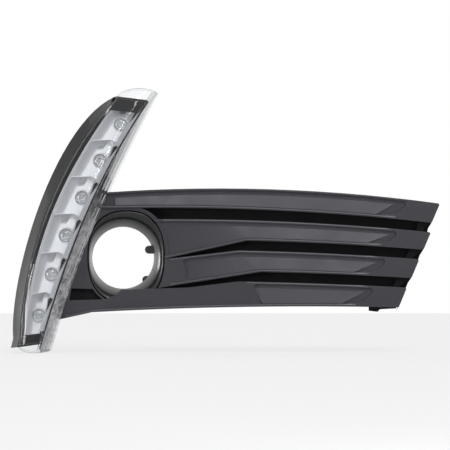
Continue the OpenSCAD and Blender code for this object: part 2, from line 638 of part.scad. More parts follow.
// Hollows behind the slat faces, open to the back
module slat_hollow(i) {
    slab(cover_wall, slat_back + 1) difference() {
        offset(delta = -cover_wall) intersection() { slat_shape(i); beside_wing(); }
        offset(delta = cover_wall) recess_shape(i);
    }
    slab(recess_y + cover_wall, slat_back + 1)
        offset(delta = -cover_wall) intersection() { slat_shape(i); beside_wing(); }
}

module slat(i) {
    difference() {
        slab(0, slat_back) intersection() { slat_shape(i); beside_wing(); }
        slab(-1, recess_y) recess_shape(i);
        slat_hollow(i);
    }
    intersection() {
        slab(recess_y + 1, slat_back - 4) intersection() { slat_shape(i); beside_wing(); }
        for (x = [fan_x[i] + 60:rib_pitch:tip_x[i] - 20])
            translate([x, 0, -150]) cube([rib_t, slat_back, 300]);
    }
}

// Slanted web that closes the groove between two tips
module tip_web(i) {
    low = edge_z(slat_low[i], tip_low_x(i));
    slab(10, slat_back) polygon([
        [tip_low_x(i) - 18, low + 2], [tip_low_x(i) - 2, low + 2], [tip_low_x(i) - 8, low - 5],
        [tip_x[i + 1] - 12, edge_z(slat_top[i + 1], tip_x[i + 1]) - 2], [tip_x[i + 1] - 20, low - 14]]);
}

module funnel(grow) hull() {
    slab(skin_y, skin_y + eps) mouth_shape(grow);
    slab(fog_y, fog_y + eps) circle(d = fog_d + 2 * grow, $fn = 72);
}

fix_points = [for (sx = [-1, 1], sz = [-1, 1]) fix_at + [sx * fix_pitch.x, sz * fix_pitch.y] / 2];
fog_points = [for (z = lug_z) [fog_d / 2 + 9.5, z]];
lug_y = fog_y + fog_len;
nut_x = fog_d / 2 + cover_wall + 0.7;

// Dark pocket between the flank beside the funnel and the lowest slat
module pocket_shape(grow = 0) {
    z = edge_z(slat_4_low, 0) + 15;
    offset(delta = grow) polygon([[-69, z + 15], [-8, z + 13], [-2, z + 8], [-16, z - 4], [-72, z - 4]]);
}
module pocket() intersection() {
    difference() {
        slab(skin_y, 12 + cover_wall) pocket_shape(cover_wall);
        slab(-1, 12) pocket_shape();
    }
    slab(skin_y, 12 + cover_wall) beside_housing();
}
module groove_floor() slab(groove_y, slat_back) difference() {
    intersection() { cover_shape(); beside_wing(); translate([mouth_at.x, -200]) square([600, 500]); }
    for (i = [0:3]) offset(delta = -cover_wall + eps) slat_shape(i);
    mouth_shape(cover_wall);
}
module rim() slab(skin_y - 2, slat_back) intersection() {
    difference() { mouth_shape(2 * cover_wall); mouth_shape(cover_wall); }
    translate([mouth_at.x, -38]) square([200, 110]);
}
// Part of the front view in which the funnel is open to the front
module open_front() difference() {
    square(600, center = true);
    slat_shape(3);
    slat_shape(0);
}
module funnel_wall() {
    funnel(cover_wall);
    bar([0, 0], fog_y, fog_y + fog_len, fog_d + 2 * cover_wall);
}
module funnel_hollow() intersection() {
    union() {
        slab(-1, skin_y + eps) mouth_shape();
        funnel(0);
    }
    slab(-1, fog_y + 1) open_front();
}
// Lug behind the bore for one fog lamp screw, with its tip inside the opening
module fog_lug(k) {
    slab(lug_y, lug_y + lug_t) hull() {
        translate(fog_points[k]) circle(d = lug_w);
        translate([lug_tip[k] + lug_w / 2, fog_points[k].y]) circle(d = lug_w);
    }
}
module snap_tongue(x) {
    z = edge_z(slat_1_top, x) - 0.3;
    end = slat_back + 14;
    translate([x - 7, 0, 0]) rotate([90, 0, 90]) linear_extrude(14) polygon([
        [slat_back - 4, z], [end, z], [end, z - 2], [end - 5, z - 5], [end - 5, z - 2], [slat_back - 4, z - 2]]);
}
module low_catch() slab(12, 20) polygon([
    [333, -60], [333, -71.5], [345, -72.9], [347.8, -69.5], [370, -68.3], [370, -60]]);

module fog_cover() color(satin) from_bore() difference() {
    union() {
        for (i = [0:3]) slat(i);
        for (p = panels) tilted_panel(p[0], p[1], p[2], p[3]);
        for (i = [0:2]) tip_web(i);
        groove_floor();
        slab(skin_y, skin_y + cover_wall) difference() { left_shape(); pocket_shape(); }
        pocket();
        rim();
        funnel_wall();
        for (k = [0:1]) fog_lug(k);
        for (p = fix_points) bar(p, recess_y + 1, slat_back, boss_d);
        for (i = [0:len(ear_z) - 1]) bar(ear_at(i), skin_y + 1, ear_y, screw_d + 4);
        for (x = [60, 190, 320]) snap_tongue(x);
        low_catch();
    }
    funnel_hollow();
    bar([0, 0], fog_y - 1, fog_y + fog_len, fog_d);
    for (p = fog_points) bar(p, lug_y - 1, lug_y + lug_t + 1, fog_pilot_d + 1.5);
    for (p = fix_points) bar(p, slat_back - fix_pilot_len, slat_back + 1, fix_pilot_d);
    for (i = [0:len(ear_z) - 1]) bar(ear_at(i), ear_y - lamp_bite - 0.5, ear_y + 1, screw_d + 2 * clear);
}

// Folded sheet nuts pushed over the free ends of the fog lamp lugs
module spring_nuts() color([0.55, 0.56, 0.58]) from_bore() for (p = fog_points) difference() {
    x0 = nut_x;
    x1 = p.x + lug_w / 2 + 0.2;
    union() {
        for (y = [lug_y - nut_t, lug_y + lug_t])
            translate([x0, y, p.y - nut_w / 2]) cube([x1 - x0 + nut_t, nut_t, nut_w]);
        translate([x1, lug_y - nut_t, p.y - nut_w / 2]) cube([nut_t, lug_t + 2 * nut_t, nut_w]);
    }
    bar(p, lug_y - 5, lug_y + lug_t + 5, fog_pilot_d);
}

fog_cover();
lamp_housing();
outer_lens();
sealing_bead();
inner_mask();
reflector_tray();
for (i = [1:cells]) optic(i);
led_board();
for (i = [1:cells]) led(i);
driver_parts();
heat_sink();
connector_socket();
connector_pins();
vent_cap();
tray_screws();
carrier_screws();
lamp_screws();
spring_nuts();
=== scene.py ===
"""Daytime running light with its fog lamp cover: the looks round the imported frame, in metres."""
import math
import bmesh
import bpy
import numpy as np
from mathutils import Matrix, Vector


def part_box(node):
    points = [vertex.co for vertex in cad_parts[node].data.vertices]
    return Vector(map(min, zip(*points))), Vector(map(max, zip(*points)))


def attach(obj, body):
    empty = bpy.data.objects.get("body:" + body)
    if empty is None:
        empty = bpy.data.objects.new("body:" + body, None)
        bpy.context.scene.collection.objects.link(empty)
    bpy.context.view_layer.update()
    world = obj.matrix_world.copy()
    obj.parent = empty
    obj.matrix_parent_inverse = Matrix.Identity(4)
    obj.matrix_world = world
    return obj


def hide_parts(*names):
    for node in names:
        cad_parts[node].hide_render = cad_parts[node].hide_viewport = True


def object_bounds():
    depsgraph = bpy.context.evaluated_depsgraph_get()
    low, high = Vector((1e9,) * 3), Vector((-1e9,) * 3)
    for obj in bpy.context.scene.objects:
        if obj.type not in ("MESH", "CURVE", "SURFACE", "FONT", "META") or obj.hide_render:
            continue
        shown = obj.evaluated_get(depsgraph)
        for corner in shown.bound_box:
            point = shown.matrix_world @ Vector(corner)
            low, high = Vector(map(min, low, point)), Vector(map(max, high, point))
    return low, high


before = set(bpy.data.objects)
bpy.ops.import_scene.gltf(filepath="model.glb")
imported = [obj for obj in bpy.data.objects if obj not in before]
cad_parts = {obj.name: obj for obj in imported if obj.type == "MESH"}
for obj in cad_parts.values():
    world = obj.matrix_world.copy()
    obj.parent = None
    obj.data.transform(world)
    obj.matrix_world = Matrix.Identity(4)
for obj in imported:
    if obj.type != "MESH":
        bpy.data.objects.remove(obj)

cad_low, cad_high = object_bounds()

# Camera: a long lens straight in front of the part, as the photograph was taken.
# The picture is square and takes in 0.6075 m at the depth of the slat faces.
view_width = 0.6075
view_middle = (0.1385, 0.04455)
face_depth = -0.041
lens_mm = 400.0
sensor_mm = 36.0
eye = bpy.data.cameras.new("eye")
eye.lens, eye.sensor_width = lens_mm, sensor_mm
eye_distance = view_width * lens_mm / sensor_mm
eye.clip_start, eye.clip_end = 0.1, 40.0
eye_stand = bpy.data.objects.new("eye", eye)
eye_stand.location = (view_middle[0], face_depth - eye_distance, view_middle[1])
eye_stand.rotation_euler = (math.pi / 2, 0, 0)
bpy.context.scene.collection.objects.link(eye_stand)
bpy.context.scene.camera = eye_stand
bpy.context.scene.view_settings.view_transform = "Standard"

# Studio: a pale floor just under the part, a white backdrop that the eye sees, also in mirrors and
# through glass, a dimmer room that lights the part, one wide soft lamp over the front, boxes at the
# left and right, and one behind that shines through the bore onto the funnel. The floor's paper
# glows a little for the same rays as the backdrop, and keeps the part's shadow.
backdrop_level = 1.0
room_level = 0.42
floor_drop = 0.0006
floor_reach = 3.0
paper_glow = 0.7
paper_white = (0.78, 0.78, 0.79, 1)
sky_from, sky_angle, sky_level = (0.16, -1.2, 0.80), 0.36, 1.15
aim_point = (0.14, -0.03, 0.05)
boxes = [("left_side", (-2.4, -2.2, -0.02), 0.7, 1.0, 55.0),
         ("right_side", (1.9, -3.2, 0.6), 0.6, 1.2, 12.0),
         ("long_line", (0.44, -3.2, 0.05), 0.05, 1.6, 5.0),
         ("through_bore", (-2.55, 1.6, 0.02), 0.9, 0.9, 30.0)]


def seen_directly(tree):
    """Socket that is 1 for rays from the eye, from mirrors and through glass, and 0 for all others:
    the largest of the three ray answers."""
    path = tree.nodes.new("ShaderNodeLightPath")
    first, second = tree.nodes.new("ShaderNodeMath"), tree.nodes.new("ShaderNodeMath")
    first.operation = second.operation = "MAXIMUM"
    tree.links.new(path.outputs["Is Camera Ray"], first.inputs[0])
    tree.links.new(path.outputs["Is Glossy Ray"], first.inputs[1])
    tree.links.new(first.outputs[0], second.inputs[0])
    tree.links.new(path.outputs["Is Transmission Ray"], second.inputs[1])
    return second.outputs[0]


room = bpy.data.worlds.new("room")
room.use_nodes = True
bpy.context.scene.world = room
tree = room.node_tree
tree.nodes.clear()
dim, white = tree.nodes.new("ShaderNodeBackground"), tree.nodes.new("ShaderNodeBackground")
dim.inputs["Color"].default_value = (1, 1, 1, 1)
dim.inputs["Strength"].default_value = room_level
white.inputs["Color"].default_value = (1, 1, 1, 1)
white.inputs["Strength"].default_value = backdrop_level
choose, out = tree.nodes.new("ShaderNodeMixShader"), tree.nodes.new("ShaderNodeOutputWorld")
tree.links.new(seen_directly(tree), choose.inputs[0])
tree.links.new(dim.outputs[0], choose.inputs[1])
tree.links.new(white.outputs[0], choose.inputs[2])
tree.links.new(choose.outputs[0], out.inputs[0])

sky = bpy.data.lights.new("over_front", "SUN")
sky.angle, sky.energy = sky_angle, sky_level
sky_stand = bpy.data.objects.new("over_front", sky)
sky_stand.rotation_euler = Vector(sky_from).to_track_quat("Z", "Y").to_euler()
bpy.context.scene.collection.objects.link(sky_stand)
for name, place, wide, high, watts in boxes:
    lamp = bpy.data.lights.new(name, "AREA")
    lamp.shape, lamp.size, lamp.size_y, lamp.energy = "RECTANGLE", wide, high, watts
    stand = bpy.data.objects.new(name, lamp)
    stand.location = place
    aim = Vector(aim_point) - Vector(place)
    stand.rotation_euler = aim.to_track_quat("-Z", "Y").to_euler()
    bpy.context.scene.collection.objects.link(stand)

ground = bpy.data.meshes.new("floor")
floor_z = cad_low.z - floor_drop
corners = [(-1, -1), (1, -1), (1, 1), (-1, 1)]
ground.from_pydata([(floor_reach * x, floor_reach * y, floor_z) for x, y in corners], [], [(0, 1, 2, 3)])
floor = bpy.data.objects.new("floor", ground)
bpy.context.scene.collection.objects.link(floor)
paper = bpy.data.materials.new("floor_paper")
paper.use_nodes = True
tree = paper.node_tree
matt = tree.nodes["Principled BSDF"]
matt.inputs["Base Color"].default_value = paper_white
matt.inputs["Roughness"].default_value = 0.8
glow, part = tree.nodes.new("ShaderNodeEmission"), tree.nodes.new("ShaderNodeMath")
blend = tree.nodes.new("ShaderNodeMixShader")
part.operation = "MULTIPLY"
part.inputs[1].default_value = paper_glow
tree.links.new(seen_directly(tree), part.inputs[0])
tree.links.new(part.outputs[0], blend.inputs[0])
tree.links.new(matt.outputs[0], blend.inputs[1])
tree.links.new(glow.outputs[0], blend.inputs[2])
tree.links.new(blend.outputs[0], tree.nodes["Material Output"].inputs["Surface"])
ground.materials.append(paper)


# Fog lamp cover: one moulding of black filled polypropylene with a fine satin grain, and matt
# black in the grooves between the slats, where the black is painted darker as painted shade.
# Its edges keep the small round that the mould gives them.
cover_black = (0.023, 0.0227, 0.027, 1)
groove_shade_black = (0.006, 0.006, 0.0072, 1)
cool_shine = (0.93, 0.92, 1.0, 1)
cover_round = 0.0003
groove_mouth, groove_floor = -0.035, -0.0165


def finish(name, colour, rough, metal=0.0, grain=0.0, grain_size=0.0006, wander=0.06, wander_size=0.03,
           tint=0.12, **shine):
    """Moulded or cast surface. Bump = grain times a fine noise of grain_size; roughness and colour
    drift slowly with a second noise of wander_size, by +-wander and +-tint of the colour. `shine`
    sets other sockets of the shader by name."""
    made = bpy.data.materials.new(name)
    made.use_nodes = True
    nodes, links = made.node_tree.nodes, made.node_tree.links
    skin = nodes["Principled BSDF"]
    skin.inputs["Metallic"].default_value = metal
    for socket, value in shine.items():
        skin.inputs[socket.replace("_", " ")].default_value = value
    where = nodes.new("ShaderNodeTexCoord")
    slow = nodes.new("ShaderNodeTexNoise")
    slow.inputs["Scale"].default_value = 1 / wander_size
    slow.inputs["Detail"].default_value = 3.0
    links.new(where.outputs["Object"], slow.inputs["Vector"])
    drift = nodes.new("ShaderNodeMapRange")
    drift.inputs["From Min"].default_value, drift.inputs["From Max"].default_value = 0.3, 0.7
    drift.inputs["To Min"].default_value = rough - wander
    drift.inputs["To Max"].default_value = rough + wander
    links.new(slow.outputs["Fac"], drift.inputs["Value"])
    links.new(drift.outputs["Result"], skin.inputs["Roughness"])
    blend = nodes.new("ShaderNodeMix")
    blend.data_type = "RGBA"
    blend.inputs[6].default_value = tuple(c * (1 - tint) for c in colour[:3]) + (1,)
    blend.inputs[7].default_value = tuple(min(1, c * (1 + tint)) for c in colour[:3]) + (1,)
    links.new(slow.outputs["Fac"], blend.inputs[0])
    links.new(blend.outputs[2], skin.inputs["Base Color"])
    if grain:
        fine = nodes.new("ShaderNodeTexNoise")
        fine.inputs["Scale"].default_value = 1 / grain_size
        fine.inputs["Detail"].default_value = 1.5
        links.new(where.outputs["Object"], fine.inputs["Vector"])
        bump = nodes.new("ShaderNodeBump")
        bump.inputs["Strength"].default_value = 1.0
        bump.inputs["Distance"].default_value = grain
        links.new(fine.outputs["Fac"], bump.inputs["Height"])
        links.new(bump.outputs["Normal"], skin.inputs["Normal"])
    return made


def dressed(node, material, width=0.0, turn=32.0, corners="MITER_ARC"):
    """The node's own shape with its doubled corners merged and flat faces joined; joined faces with a
    notch in their outline are cut in triangles again, which the round needs. Edges that turn by more
    than `turn` degrees get a round of `width`, and faces that turn by less are shaded as one."""
    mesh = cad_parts[node].data.copy()
    work = bmesh.new()
    work.from_mesh(mesh)
    bmesh.ops.remove_doubles(work, verts=work.verts, dist=3e-6)
    bmesh.ops.dissolve_limit(work, angle_limit=math.radians(0.3), verts=work.verts, edges=work.edges)
    bent = [f for f in work.faces if len(f.verts) > 4 and not all(c.is_convex for c in f.loops)]
    bmesh.ops.triangulate(work, faces=bent)
    work.to_mesh(mesh)
    work.free()
    mesh.materials.clear()
    mesh.materials.append(material)
    mesh.shade_smooth()
    piece = bpy.data.objects.new(node + "_skin", mesh)
    bpy.context.scene.collection.objects.link(piece)
    if width:
        rounding = piece.modifiers.new("mould_round", "BEVEL")
        rounding.limit_method, rounding.angle_limit = "ANGLE", math.radians(turn)
        rounding.width, rounding.segments = width, 2
        rounding.use_clamp_overlap, rounding.harden_normals = False, True
        rounding.miter_outer = corners
        level = piece.modifiers.new("flat_faces", "WEIGHTED_NORMAL")
        level.mode, level.weight, level.keep_sharp = "FACE_AREA", 100, True
    else:
        mesh.set_sharp_from_angle(angle=math.radians(turn))
    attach(piece, "root")
    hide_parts(node)
    return piece


def face_middles(mesh):
    """Middle of each face, as an array of rows x, y, z."""
    middle = np.empty(3 * len(mesh.polygons))
    mesh.polygons.foreach_get("center", middle)
    return middle.reshape(-1, 3)


satin = finish("satin_black", cover_black, 0.38, grain=0.00003, grain_size=0.0009,
               Specular_Tint=cool_shine, Specular_IOR_Level=0.36)
cover = dressed("fog_cover", satin, cover_round, corners="MITER_SHARP")
# Groove faces: a matt copy of the cover with a much darker black, which is painted shade in the grooves.
groove_matt_shaded = finish("groove_shade_black", groove_shade_black, 0.7, grain=0.00003, grain_size=0.0009,
                     Specular_IOR_Level=0.1)
cover.data.materials.append(groove_matt_shaded)
depth = face_middles(cover.data)[:, 1]
groove_shade_faces = (depth > groove_mouth) & (depth < groove_floor)
cover.data.polygons.foreach_set("material_index", groove_shade_faces.astype(np.int32))


def sheet_mesh(name, points, material, thick=0.0):
    """Grid of points (rows, columns, 3) joined by quads. Points that meet, at a seam where the grid
    comes round to its start or at a pole, are merged, and a wall of `thick` grows behind the faces."""
    rows, columns = points.shape[:2]
    index = np.arange(rows * columns).reshape(rows, columns)
    quads = np.stack([index[:-1, :-1], index[:-1, 1:], index[1:, 1:], index[1:, :-1]], -1)
    mesh = bpy.data.meshes.new(name)
    mesh.from_pydata(points.reshape(-1, 3).tolist(), [], quads.reshape(-1, 4).tolist())
    work = bmesh.new()
    work.from_mesh(mesh)
    bmesh.ops.remove_doubles(work, verts=work.verts, dist=1e-6)
    work.to_mesh(mesh)
    work.free()
    mesh.materials.append(material)
    mesh.shade_smooth()
    piece = bpy.data.objects.new(name, mesh)
    bpy.context.scene.collection.objects.link(piece)
    if thick:
        wall = piece.modifiers.new("wall", "SOLIDIFY")
        wall.thickness, wall.offset = thick, -1
    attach(piece, "root")
    return piece


# Lips of the slats: the mould rounds the narrow rims over and under each recess, so that each one
# catches a long highlight. They are part of the cover, and all but the top one are worn smoother
# and coloured a little lighter than the cover, which is a painted highlight.
# An arc is apex x, top z and radius; a knee is the x where it ends and its slope left of there.
arcs_up = [(0.130, 0.0939, 2.2), (0.070, 0.0525, 3.4), (0.070, 0.0112, 4.3), (0.070, -0.031, 5.5)]
arcs_low = [(0.050, 0.0675, 3.4), (0.070, 0.0243, 4.3), (0.070, -0.0178, 5.5), (0.250, -0.0654, 5.4)]
knees_low = [(-0.030, 0.0), (0.168, 0.22), (0.187, 0.155), (-0.041, 0.22)]
knees_up = [(-0.030, 0.0), (0.045, 0.0), (0.156, 0.12), (0.156, 0.0)]
upper_runs = [(-0.034, 0.384), (0.052, 0.366), (0.062, 0.349), (0.166, 0.334)]
lower_runs = [(-0.034, 0.372), (0.056, 0.352), (0.062, 0.335), (-0.080, 0.318)]
lip_high, sill_high = 0.0034, 0.0042
lip_bulge, sill_bulge, lip_root = 0.0007, 0.0013, 0.0004
lip_inset, lip_sink = 0.00035, 0.00005
fade_in, fade_out = 0.012, 0.03
slat_face = -0.041
rim_lit_black = (0.028, 0.0277, 0.031, 1)


def edge_height(arc, knee, x):
    """Slat edge: the arc z = top - r + sqrt(r^2 - (x - apex)^2), carried on straight left of its knee."""
    apex, top, radius = arc
    bend, slope = knee
    rise = np.sqrt(radius ** 2 - (np.maximum(x, bend) - apex) ** 2)
    return top - radius + rise - slope * np.maximum(0, bend - x)


def lip_points(arc, knee, run, drop, high, bulge, columns=90, around=17):
    """Bead along an edge, a little in from its round. Across, the angle a runs once round: z rises with
    (1 - cos a) / 2, and y = face - bulge sin^2 a in front or + root sin^2 a behind. Both fall to 0 at
    the ends, which closes them."""
    x = np.linspace(*run, columns)[None, :]
    a = np.linspace(0, 2 * math.pi, around)[:, None]
    z = edge_height(arc, knee, x) + drop + lip_inset + (high - 2 * lip_inset) * (1 - np.cos(a)) / 2
    fall = np.clip((x - run[0]) / fade_in, 0, 1) * np.clip((run[1] - x) / fade_out, 0, 1)
    y = slat_face + lip_sink - np.where(np.sin(a) > 0, bulge, -lip_root) * np.sin(a) ** 2 * fall
    return np.stack(np.broadcast_arrays(x, y, z), -1)


# Lip finish: a smoother copy of the cover's black in a slightly lighter colour, which is a painted
# highlight.
rim_satin_lit = finish("rim_satin_lit", rim_lit_black, 0.32, wander=0.04,
                   Specular_Tint=cool_shine, Specular_IOR_Level=0.6)
uppers, lowers = zip(arcs_up, knees_up, upper_runs), zip(arcs_low, knees_low, lower_runs)
for number, (over, under) in enumerate(zip(uppers, lowers), 1):
    lip = lip_points(*over, -lip_high, lip_high, lip_bulge)
    sheet_mesh(f"lip_over_{number}", lip, satin if number == 1 else rim_satin_lit)
    sill = lip_points(*under, 0.0, sill_high, sill_bulge)
    sheet_mesh(f"lip_under_{number}", sill, rim_satin_lit)

# Funnel: the cover's wall flares like a trumpet from the lamp bore to the squarish mouth. Its mould
# is polished, so it is smoother than the slats, and its black is painted darker than theirs, which
# is painted shade in the funnel.
mouth_middle, mouth_half, mouth_corner = (0.005, 0.0015), (0.0509, 0.0613), 2 / 2.4
bore_radius, bore_front, mouth_front = 0.0422, -0.0060, -0.0370
flare, funnel_wall = 2.2, 0.0008
funnel_shaded_black = (0.012, 0.013, 0.0125, 1)


def funnel_points(rows=20, columns=145):
    """Across: from the bore circle to the mouth, a rounded square x = a sgn(c)|c|^e, z = b sgn(s)|s|^e.
    Depth: y = bore + (mouth - bore) (1 - (1 - v)^2.2), so that the wall turns towards the front."""
    turn = np.linspace(2 * math.pi, 0, columns)[None, :]
    v = np.linspace(0, 1, rows)[:, None]
    circle = np.cos(turn), np.sin(turn)
    x, z = [(1 - v) * bore_radius * c + v * (middle + half * np.sign(c) * np.abs(c) ** mouth_corner)
            for c, middle, half in zip(circle, mouth_middle, mouth_half)]
    y = bore_front + (mouth_front - bore_front) * (1 - (1 - v) ** flare) + 0 * turn
    return np.stack([x, y, z], -1)


# Funnel finish: smoother than the cover, in a darker black that is painted shade.
polished = finish("funnel_shaded_black", funnel_shaded_black, 0.24, wander=0.03, Specular_IOR_Level=0.35)
sheet_mesh("funnel_wall", funnel_points(), polished, thick=funnel_wall)

# Lamp housing: black polypropylene tub, smoother than the cover. The flank shows at the left of
# the lamp, and the ribs, bosses and ears show from behind.
tub_round, shroud_round = 0.0004, 0.0003
housing = finish("housing_black", (0.010, 0.010, 0.0115, 1), 0.42, grain=0.00001, wander=0.04,
                 Specular_IOR_Level=0.12)
dressed("lamp_housing", housing, tub_round)
dressed("connector_socket", housing, shroud_round)

# Sealant bead: soft grey rope of butyl pressed between lens and housing. It is matt, and its colour
# varies more than that of a moulding.
bead_grey = finish("bead_grey", (0.05, 0.05, 0.055, 1), 0.6, wander=0.1, wander_size=0.008)
dressed("sealing_bead", bead_grey)

# Mask: gloss black frame that hides the gap between the tray and the housing wall. It shows round
# the top cell, where the tray ends.
mask_round = 0.0003
mask_black = finish("mask_black", (0.005, 0.005, 0.006, 1), 0.16, wander=0.03,
                    Specular_IOR_Level=0.12)
dressed("inner_mask", mask_black, mask_round)

# Reflector tray: moulded in one and coated with a thin satin silver. Six cells slope down from
# their roof-shaped lower ridges to a pocket under the ridge above, and a long plane lies at the left.
# The edges of the pane are cubic curves, given by four points in the front view.
tray_silver = finish("tray_silver", (0.70, 0.705, 0.72, 1), 0.45, metal=0.15, wander=0.05,
                     wander_size=0.012, tint=0.05)
lamp_front = -0.041
near_edge = np.array([[-134.2, -108.7], [-126.2, 19.4], [-82.0, 115.4], [-5.9, 217.4]]) / 1000
far_edge = near_edge + np.array([[29.7, 4.1], [54.4, -9.5], [51.6, -2.8], [43.2, -5.4]]) / 1000
cell_count, cell_rows, cell_end = 6, 40, 0.968
tray_start, tray_stop, tray_wall = 0.012, 0.947, 0.0006
near_margin, far_margin = 0.0031, 0.0058
rim_y, ridge_y, deep_y = -0.0172, -0.0102, 0.0018
bell_rise, bell_fall = (0.05, 0.40), (0.90, 0.985)
roof_rise, roof_apex, roof_in, roof_out = 0.013, 0.66, (0.0, 0.06), (0.90, 0.955)
notch_start, notch_deepest, notch_end, notch_bite = 0.45, 0.90, 0.95, 0.0042
pocket_depth, pocket_below = 0.0065, (0.74, 0.82)
pocket_left, pocket_right = (0.36, 0.40), (0.56, 0.60)
well_radius, well_y = 0.0092, 0.0085


def along(control, t):
    """Cubic curve of the lamp: the four control points blended by (1-t)^3, 3(1-t)^2 t, 3(1-t)t^2, t^3."""
    t = np.asarray(t, float)[..., None]
    return ((1 - t) ** 3 * control[0] + 3 * (1 - t) ** 2 * t * control[1]
            + 3 * (1 - t) * t ** 2 * control[2] + t ** 3 * control[3])


def ramp(x, low, high):
    """0 below low, 1 above high, and the smooth step 3s^2 - 2s^3 between."""
    s = np.clip((x - low) / (high - low), 0, 1)
    return s * s * (3 - 2 * s)


def optic_places():
    """Axis of each optic in the front view, as the frame's own optic nodes have it."""
    boxes = [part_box(f"optic_{n}") for n in range(1, cell_count + 1)]
    return np.array([[(low[0] + high[0]) / 2, (low[2] + high[2]) / 2] for low, high in boxes])


def notch_at(t):
    """Depth share of the notch beside each cell, for the place s in the cell: it rises straight from 0
    to 1 between notch_start and notch_deepest, and falls back to 0 at notch_end."""
    s = (t * cell_count / cell_end) % 1.0
    rise = np.clip((s - notch_start) / (notch_deepest - notch_start), 0, 1)
    fall = np.clip((notch_end - s) / (notch_end - notch_deepest), 0, 1)
    return np.where(s > notch_deepest, fall, rise)


def tray_points(columns=72):
    """Along: t = cell_end (k + s) / 6 plus a roof-shaped rise. Across: v from rim to rim. Depth: rim
    depth, then down to the floor ridge_y + (deep_y - ridge_y) s, less at the sides, with a pocket near
    s = 1 and a round well behind each optic."""
    within = np.concatenate([[0.0], np.linspace(0.02, 0.985, cell_rows - 2), [1.0]])
    share = np.tile(within, cell_count)
    cell = np.repeat(np.arange(cell_count), cell_rows)
    v = np.linspace(0, 1, columns)[None, :]
    s = share[:, None]
    roof = roof_rise * (1 - np.abs(v - roof_apex) / np.where(v < roof_apex, roof_apex, 1 - roof_apex))
    t = cell_end * (cell[:, None] + s) / cell_count
    fade = ramp(t, *roof_in) * (1 - ramp(t, *roof_out))
    t = np.clip(t + roof * fade, tray_start, tray_stop)
    near, far = along(near_edge, t), along(far_edge, t)
    width = np.linalg.norm(far - near, axis=-1, keepdims=True)
    u = near_margin + v[..., None] * (width - near_margin - far_margin)
    u = u - notch_bite * notch_at(t)[..., None] * ramp(v[..., None], 0.8, 1.0)
    place = near + (far - near) / width * u
    floor_y = ridge_y + (deep_y - ridge_y) * s
    bell = ramp(v, *bell_rise) * (1 - ramp(v, *bell_fall))
    depth = rim_y + (floor_y - rim_y) * bell
    pocket = ramp(s, *pocket_below) * ramp(v, *pocket_left) * (1 - ramp(v, *pocket_right))
    depth = depth + pocket_depth * pocket
    for axis in optic_places():
        depth = np.where(np.linalg.norm(place - axis, axis=-1) < well_radius, well_y, depth)
    return np.stack([place[..., 0], depth + lamp_front, place[..., 1]], -1)


skin = tray_points()
tray = sheet_mesh("reflector_tray_skin", skin, tray_silver, thick=tray_wall)
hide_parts("reflector_tray")

# Flange of the tray: the flat strip between the cells and the far wall of the lens, let in beside
# each notch. It rises a little towards the pane.
flange_reach, flange_seat, flange_bite = 0.0092, 0.0030, 0.0060
flange_y, flange_rise, flange_ends = -0.0598, 0.0037, (0.02, 0.945)


def flange_points(rows=360, columns=8):
    """Strip along the far pane edge: from flange_reach, less flange_bite at a notch, to flange_seat
    inside the edge, and y rises with the way from flange_reach towards the edge."""
    t = np.linspace(*flange_ends, rows)[:, None]
    near, far = along(near_edge, t), along(far_edge, t)
    width = np.linalg.norm(far - near, axis=-1, keepdims=True)
    v = np.linspace(0, 1, columns)[None, :, None]
    left = flange_reach - flange_bite * notch_at(t)[..., None]
    inward = left + (flange_seat - left) * v
    place = far - (far - near) / width * inward
    climb = (flange_reach - inward[..., 0]) / (flange_reach - flange_seat)
    return np.stack([place[..., 0], flange_y - flange_rise * climb, place[..., 1]], -1)


sheet_mesh("tray_flange", flange_points(), tray_silver, thick=tray_wall)

# Bright edges of the tray: the rounded ridges over the cells, two beads along the near rim, and a
# collar round each optic, all coated like the tray and polished a little smoother, in a colour much
# lighter than the tray's, which is a painted highlight.
# Edge finish: the tray's coating in a much lighter colour, which is a painted highlight on the edges.
tray_edge_lit = finish("tray_edge_lit", (0.93, 0.93, 0.95, 1), 0.3, wander=0.04, tint=0.03)
ridge_radius, ridge_lift, ridge_ends = 0.0007, 0.0002, 3
rim_beads = [("tray_rim_inner", 0.0030, -0.0604, 0.0005), ("tray_rim_outer", 0.0044, -0.0596, 0.0004)]
collar_inner, collar_width = 0.0091, 0.0015
collar_y, collar_front, collar_back = -0.0452, 0.0040, 0.0005


def rod_points(path, radius, around=12):
    """Round bead: a circle carried along the path, square to its direction. Its radius is
    radius sqrt(1 - s^12) for s from -1 to 1 along the path, which closes both ends."""
    step = np.gradient(path, axis=0)
    step = step / np.linalg.norm(step, axis=-1, keepdims=True)
    side = np.cross(step, np.array([0.0, 1.0, 0.0]))
    side = side / np.linalg.norm(side, axis=-1, keepdims=True)
    over = np.cross(step, side)
    turn = np.linspace(2 * math.pi, 0, around + 1)[:, None, None]
    s = np.linspace(-1, 1, len(path))[None, :, None]
    circle = np.cos(turn) * side[None] + np.sin(turn) * over[None]
    return path[None] + radius * np.sqrt(1 - s ** 12) * circle


def edge_path(inward, depth, low=0.015, high=0.945, count=160):
    """Path `inward` metres from the near pane edge towards the far one, at a fixed depth."""
    t = np.linspace(low, high, count)
    near, far = along(near_edge, t), along(far_edge, t)
    place = near + (far - near) / np.linalg.norm(far - near, axis=-1, keepdims=True) * inward
    return np.stack([place[:, 0], np.full(count, depth), place[:, 1]], -1)


def collar_points(axis, around=12, columns=48):
    """Ring round an optic. Across, the angle a runs once round: the radius grows with (1 - cos a) / 2,
    and y stands in front of the ring's middle by collar_front sin a, or behind it by collar_back."""
    turn = np.linspace(2 * math.pi, 0, columns + 1)[None, :]
    a = np.linspace(0, 2 * math.pi, around + 1)[:, None]
    radius = collar_inner + collar_width * (1 - np.cos(a)) / 2
    y = collar_y - np.where(np.sin(a) > 0, collar_front, collar_back) * np.sin(a) + 0 * turn
    return np.stack([axis[0] + radius * np.cos(turn), y, axis[1] + radius * np.sin(turn)], -1)


